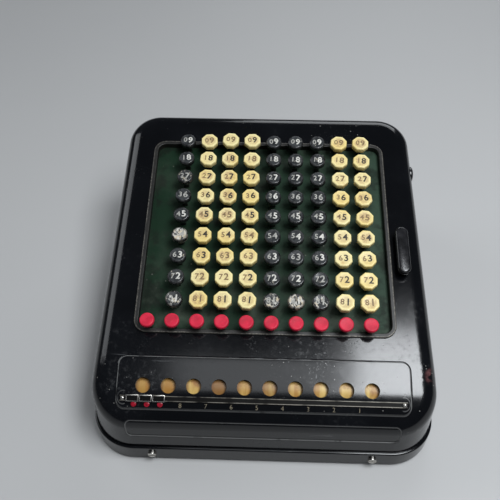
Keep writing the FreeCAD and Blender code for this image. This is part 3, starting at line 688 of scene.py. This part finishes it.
def select_vertices(piece, test):
    """In edit mode, selects the vertices whose place passes a test."""
    select_none("VERT")
    for vertex in piece.data.vertices:
        vertex.select = test(vertex.co)
    bpy.ops.object.mode_set(mode="EDIT")


def faces_up(normal):
    return normal.z > FACING


def faces_down(normal):
    return normal.z < -FACING


def extrude_up(height):
    bpy.ops.mesh.extrude_region_move(TRANSFORM_OT_translate={"value": (0, 0, height)})


def finish_edges(piece, width, segments, angle=EDGE_ANGLE):
    """Rounds the sharp edges and shades the rest smooth."""
    bpy.ops.object.mode_set(mode="OBJECT")
    bevel = piece.modifiers.new("rounding", "BEVEL")
    bevel.width = width
    bevel.segments = segments
    bevel.limit_method = "ANGLE"
    bevel.angle_limit = math.radians(angle)
    bpy.ops.object.modifier_apply(modifier=bevel.name)
    bpy.ops.object.shade_smooth_by_angle(angle=SMOOTH_ANGLE)


def paint(piece, name, value):
    """Gives every vertex a value from 0 to 1, worked out from its place."""
    layer = piece.data.attributes.new(name, "FLOAT", "POINT")
    shares = [min(1.0, max(0.0, value(vertex.co))) for vertex in piece.data.vertices]
    layer.data.foreach_set("value", shares)


def block(size, height=0.0):
    """A block to start from, centred at a height."""
    start()
    bpy.ops.mesh.primitive_cube_add(size=1, location=(0, 0, height))
    piece = bpy.context.object
    piece.scale = size
    apply_place()
    return piece


def key_cap(sides, radius, thickness, bevel, table_share, dish):
    """A cap with its table at height 0: straight sides, a bevel all round and a dished table."""
    start()
    bpy.ops.mesh.primitive_cylinder_add(vertices=sides, radius=radius, depth=thickness - bevel,
                                        location=(0, 0, -(thickness + bevel) / 2),
                                        rotation=(0, 0, math.pi / sides))
    piece = bpy.context.object
    apply_place()
    select_faces(piece, faces_up)
    extrude_up(bevel)
    bpy.ops.transform.resize(value=(table_share, table_share, 1))
    bpy.ops.mesh.inset(thickness=radius * TABLE_RIM_SHARE, depth=0)
    bpy.ops.mesh.inset(thickness=radius * DISH_SLOPE_SHARE, depth=-dish)
    finish_edges(piece, CAP_ROUNDING, segments=2, angle=CAP_EDGE_ANGLE)

    def grime(place):
        return 1.0 - max(0.0, place.to_2d().length / radius - GRIME_REACH) * GRIME_FADE

    def side(place):
        return -place.z / (SIDE_SPAN * thickness) - SIDE_START

    paint(piece, "grime", grime)
    paint(piece, "side", side)
    return piece


def key_stem():
    """A flat strip under a cap with rounded corners, spread a little where it grips the cap."""
    piece = block((STEM_WIDTH, STEM_DEPTH, STEM_HEAD - STEM_FOOT), (STEM_FOOT + STEM_HEAD) / 2)
    select_faces(piece, faces_up)
    bpy.ops.mesh.inset(thickness=STEM_SHOULDER, depth=0)
    extrude_up(STEM_SPREAD_HEIGHT)
    bpy.ops.transform.resize(value=STEM_SPREAD)
    finish_edges(piece, STEM_ROUNDING, segments=1)
    return piece


def glyph(digit, size, weight):
    """A digit as a thin flat mesh, centred on its own middle."""
    start()
    bpy.ops.object.text_add()
    text = bpy.context.object
    text.data.body = str(digit)
    text.data.size = size
    text.data.align_x = "CENTER"
    text.data.align_y = "CENTER"
    text.data.resolution_u = GLYPH_RESOLUTION
    text.data.offset = weight
    text.data.extrude = INK_LIFT
    bpy.ops.object.convert(target="MESH")
    piece = bpy.context.object
    bpy.ops.object.mode_set(mode="EDIT")
    bpy.ops.mesh.select_all(action="SELECT")
    bpy.ops.mesh.remove_doubles(threshold=MERGE_REACH)
    bpy.ops.object.mode_set(mode="OBJECT")
    return piece


def domed_head(radius, rise, skirt):
    """A low dome with its rim at height 0, on a straight skirt that sinks into its seat."""
    start()
    bpy.ops.mesh.primitive_uv_sphere_add(segments=DOME_SEGMENTS, ring_count=DOME_RINGS, radius=radius)
    piece = bpy.context.object
    piece.scale = (1, 1, rise / radius)
    apply_place()
    bpy.ops.object.mode_set(mode="EDIT")
    bpy.ops.mesh.select_all(action="SELECT")
    bpy.ops.mesh.bisect(plane_co=(0, 0, 0), plane_no=(0, 0, 1), use_fill=True, clear_inner=True,
                        threshold=MERGE_REACH)
    bpy.ops.mesh.select_all(action="SELECT")
    bpy.ops.mesh.normals_make_consistent(inside=False)
    select_faces(piece, faces_down)
    extrude_up(-skirt)
    bpy.ops.object.mode_set(mode="OBJECT")
    bpy.ops.object.shade_smooth_by_angle(angle=SMOOTH_ANGLE)
    return piece


def copy_of(master, matrix, finish, wear=0.0):
    """A copy with its own mesh, its place in the mesh, one finish and an even wear."""
    piece = bpy.data.objects.new(master.name, master.data.copy())
    bpy.context.collection.objects.link(piece)
    piece.data.transform(matrix)
    piece.data.materials.clear()
    piece.data.materials.append(FINISHES[finish])
    paint(piece, "wear", lambda place: wear)
    return piece


def join(pieces, name):
    start()
    for piece in pieces:
        piece.select_set(True)
    bpy.context.view_layer.objects.active = pieces[0]
    bpy.ops.object.join()
    whole = bpy.context.object
    whole.name = name
    whole.data.name = name
    return whole


def discard(*masters):
    for master in masters:
        bpy.data.objects.remove(master)


def stand_in(piece, node, body):
    """Puts a piece in the place of a CAD node, on a body."""
    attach(piece, body)
    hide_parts(node)


def key_matrices(column, along, raised=0.0):
    """A key's place on the deck, straight for its stem, and with the turn and tilt of a used cap."""
    turn = Matrix.Rotation(dice.uniform(-TURN_SPREAD, TURN_SPREAD), 4, "Z")
    tilt = Matrix.Rotation(dice.uniform(-TILT_SPREAD, TILT_SPREAD), 4, "X")
    lift = CAP_TOP + raised - dice.uniform(0, LIFT_SPREAD)
    straight = DECK @ Matrix.Translation((column_x(column), along, lift))
    return straight, straight @ tilt @ turn


def digit_keys():
    """Every row of digit keys, cream and black, each with its digit and the smaller complement to nine."""
    cream = key_cap(CREAM_SIDES, CREAM_RADIUS, CREAM_THICKNESS, DIGIT_CAP_BEVEL,
                    CREAM_TABLE_SHARE, DIGIT_CAP_DISH)
    black = key_cap(ROUND_SIDES, BLACK_DIAMETER / 2, BLACK_THICKNESS, DIGIT_CAP_BEVEL,
                    BLACK_TABLE_SHARE, DIGIT_CAP_DISH)
    stem = key_stem()
    large = [glyph(digit, DIGIT_SIZE, DIGIT_WEIGHT) for digit in range(10)]
    small = [glyph(digit, COMPLEMENT_SIZE, COMPLEMENT_WEIGHT) for digit in range(10)]
    kinds = (("cream", CREAM_COLUMNS, cream, "cream_cap", ("dark_ink", "tan_ink")),
             ("black", BLACK_COLUMNS, black, "black_cap", ("white_ink", "grey_ink")))
    for row in range(ROWS):
        digit = row + 1
        for colour, columns, cap, slot, inks in kinds:
            pieces = []
            for column in columns:
                straight, place = key_matrices(column, row * ROW_PITCH, RAISED.get((column, digit), 0.0))
                if colour == "black":
                    wear = HEAVY_WEAR.get((column, digit), LIGHT_WEAR)
                else:
                    wear = dice.uniform(*CREAM_WEAR)
                ink = inks[dice.random() < FADED_SHARE]
                right = place @ Matrix.Translation((DIGIT_X, 0, -INK_DEPTH))
                left = place @ Matrix.Translation((COMPLEMENT_X, 0, -INK_DEPTH))
                pieces.append(copy_of(cap, place, slot, wear))
                pieces.append(copy_of(stem, straight, "stem_black"))
                pieces.append(copy_of(large[digit], right, ink))
                pieces.append(copy_of(small[9 - digit], left, inks[1]))
            name = "keys_%d_%s" % (digit, colour)
            stand_in(join(pieces, "cap_" + name), name, name)
    discard(cream, black, stem, *large, *small)


def red_keys():
    """The front row of flat red keys."""
    cap = key_cap(ROUND_SIDES, RED_DIAMETER / 2, RED_THICKNESS, RED_BEVEL, RED_TABLE_SHARE, RED_DISH)
    stem = key_stem()
    for column in range(WINDOWS):
        straight, place = key_matrices(column, -RED_ROW_GAP)
        name = "red_key_%d" % (column + 1)
        pieces = [copy_of(cap, place, "red_cap"), copy_of(stem, straight, "stem_black")]
        stand_in(join(pieces, "cap_" + name), name, name)
    discard(cap, stem)


def rail_numbers():
    """The plain column numbers below the decimal rail."""
    line = register_frame(NUMBER_DISTANCE)
    pieces = []
    masters = []
    for number in range(1, LAST_NUMBER + 1):
        master = glyph(number, NUMBER_SIZE, NUMBER_WEIGHT)
        masters.append(master)
        x = column_x(WINDOWS - number) - COLUMN_PITCH / 2
        pieces.append(copy_of(master, line @ Matrix.Translation((x, 0, PANEL_RISE)), "gilt_ink"))
    numbers = join(pieces, "rail_numbers")
    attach(numbers, "machine")
    discard(*masters)


def rail_domes():
    """The domed screw at each end of the rail."""
    dome = domed_head(RAIL_SCREW_RADIUS, RAIL_SCREW_RISE, RAIL_SCREW_SKIRT)
    rail = register_frame(RAIL_DISTANCE)
    pieces = []
    for side in (-1, 1):
        place = rail @ Matrix.Translation((side * RAIL_SCREW_X, 0, PANEL_RISE + RAIL_SCREW_SEAT))
        pieces.append(copy_of(dome, place, "nickel"))
    stand_in(join(pieces, "rail_domes"), "rail_screws", "machine")
    discard(dome)


def marker_plate():
    """A plate with a pocket for its dark opening."""
    plate = block((MARKER_LENGTH, MARKER_WIDTH, MARKER_THICKNESS))
    select_faces(plate, faces_up)
    bpy.ops.mesh.inset(thickness=MARKER_FRAME, depth=0)
    extrude_up(-MARKER_POCKET)
    bpy.ops.mesh.inset(thickness=POCKET_MARGIN, depth=0)
    finish_edges(plate, PLATE_ROUNDING, segments=2)
    return plate


def marker_dot():
    """A button with a raised middle."""
    start()
    bpy.ops.mesh.primitive_cylinder_add(vertices=DOT_SIDES, radius=DOT_RADIUS, depth=DOT_THICKNESS)
    dot = bpy.context.object
    select_faces(dot, faces_up)
    bpy.ops.mesh.inset(thickness=DOT_RIM, depth=DOT_RISE)
    finish_edges(dot, DOT_ROUNDING, segments=2)
    return dot


def markers():
    """Each decimal marker: a nickel plate round a dark opening, on its tongue, with a red dot below it."""
    plate = marker_plate()
    tongue = block(TONGUE_SIZE)
    finish_edges(tongue, TONGUE_ROUNDING, segments=1)
    opening = block((MARKER_LENGTH - MARKER_OPENING_MARGIN, MARKER_WIDTH - MARKER_OPENING_MARGIN,
                     MARKER_OPENING_THICKNESS))
    finish_edges(opening, MARKER_OPENING_ROUNDING, segments=1)
    dot = marker_dot()
    rail = register_frame(RAIL_DISTANCE)
    for index in range(MARKERS):
        name = "decimal_marker_%d" % (index + 1)
        low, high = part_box(name)
        x = (rail.inverted() @ ((Vector(low) + Vector(high)) / 2)).x
        middle = rail @ Matrix.Translation((x, 0, PANEL_RISE + MARKER_TOP - MARKER_THICKNESS / 2))
        below = middle @ Matrix.Translation((0, 0, -(MARKER_THICKNESS + TONGUE_SIZE.z) / 2))
        inside = middle @ Matrix.Translation((0, 0, -MARKER_OPENING_DEPTH))
        pieces = [copy_of(plate, middle, "nickel"), copy_of(tongue, below, "frame_steel"),
                  copy_of(opening, inside, "opening_black")]
        stand_in(join(pieces, "plate_" + name), name, name)
        drop = copy_of(dot, middle @ Matrix.Translation(DOT_PLACE), "dot_red")
        drop.name = "marker_dot_%d" % (index + 1)
        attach(drop, name)
    discard(plate, tongue, opening, dot)


def lever_grip():
    """The clearing lever's finger grip: a pill with round edges, lying along the deck."""
    start()
    bpy.ops.mesh.primitive_cylinder_add(vertices=GRIP_SIDES, radius=GRIP_WIDTH / 2, depth=GRIP_THICKNESS,
                                        rotation=(0, 0, math.pi / GRIP_SIDES))
    pill = bpy.context.object
    apply_place()
    for way in (-1, 1):
        select_vertices(pill, lambda place: place.y * way > 0)
        bpy.ops.transform.translate(value=(0, way * (GRIP_LENGTH - GRIP_WIDTH) / 2, 0))
    finish_edges(pill, GRIP_ROUNDING, segments=5)
    grip = copy_of(pill, DECK @ Matrix.Translation(GRIP_CENTRE), "grip_black")
    grip.name = "finger_grip"
    stand_in(grip, "clear_lever_grip", "clear_lever")
    discard(pill)


def wall_knob():
    """The low round knob on the right wall."""
    dome = domed_head(KNOB_RADIUS, KNOB_RISE, KNOB_SKIRT)
    place = Matrix.Translation(KNOB_CENTRE) @ Matrix.Rotation(math.pi / 2, 4, "Y")
    knob = copy_of(dome, place, "grip_black")
    knob.name = "wall_knob"
    stand_in(knob, "side_knob", "machine")
    discard(dome)


def lamp(name, place, target, width, length, power):
    """A soft lamp that points at a target, or straight down."""
    light = bpy.data.lights.new(name, "AREA")
    light.shape = "RECTANGLE"
    light.size = width
    light.size_y = length
    light.energy = power
    light.color = LAMP_COLOUR
    holder = bpy.data.objects.new(name, light)
    bpy.context.collection.objects.link(holder)
    holder.matrix_world = Matrix.Translation(place)
    if target is not None:
        aim = (target - place).to_track_quat("-Z", "Y")
        holder.matrix_world = Matrix.Translation(place) @ aim.to_matrix().to_4x4()


def studio():
    """A pale floor, soft lamps and an even world."""
    floor_grey = (0.48, 0.48, 0.48)
    floor_pale = (0.51, 0.51, 0.505)
    start()
    bpy.ops.mesh.primitive_plane_add(size=FLOOR_SIZE)
    floor = bpy.context.object
    floor.name = "floor"
    finish = Finish("pale_floor")
    mottle = finish.noise(3.0, detail=3.0)
    colour = finish.mix(mottle, floor_grey, floor_pale)
    floor.data.materials.append(finish.set(Base_Color=colour, Roughness=mottle * 0.1 + 0.6))
    world = bpy.data.worlds.new("studio")
    bpy.context.scene.world = world
    world.use_nodes = True
    sky = world.node_tree.nodes["Background"]
    sky.inputs["Color"].default_value = SKY_COLOUR
    sky.inputs["Strength"].default_value = SKY_STRENGTH
    for name, settings in LAMPS.items():
        lamp(name, *settings)


def camera():
    """The camera at the photograph's place, looking down at the keyboard."""
    view = bpy.data.cameras.new("photo_camera")
    view.lens = CAMERA_LENS
    view.sensor_width = SENSOR_WIDTH
    holder = bpy.data.objects.new("photo_camera", view)
    bpy.context.collection.objects.link(holder)
    tip = Matrix.Rotation(math.pi / 2 - CAMERA_PITCH, 4, "X")
    turn = Matrix.Rotation(-CAMERA_YAW, 4, "Z")
    roll = Matrix.Rotation(-CAMERA_ROLL, 4, "Z")
    holder.matrix_world = Matrix.Translation(CAMERA_PLACE) @ turn @ tip @ roll
    bpy.context.scene.camera = holder


bpy.context.scene.view_settings.view_transform = "Standard"
paint_cad_nodes()
digit_keys()
red_keys()
rail_numbers()
rail_domes()
markers()
lever_grip()
wall_knob()
studio()
camera()
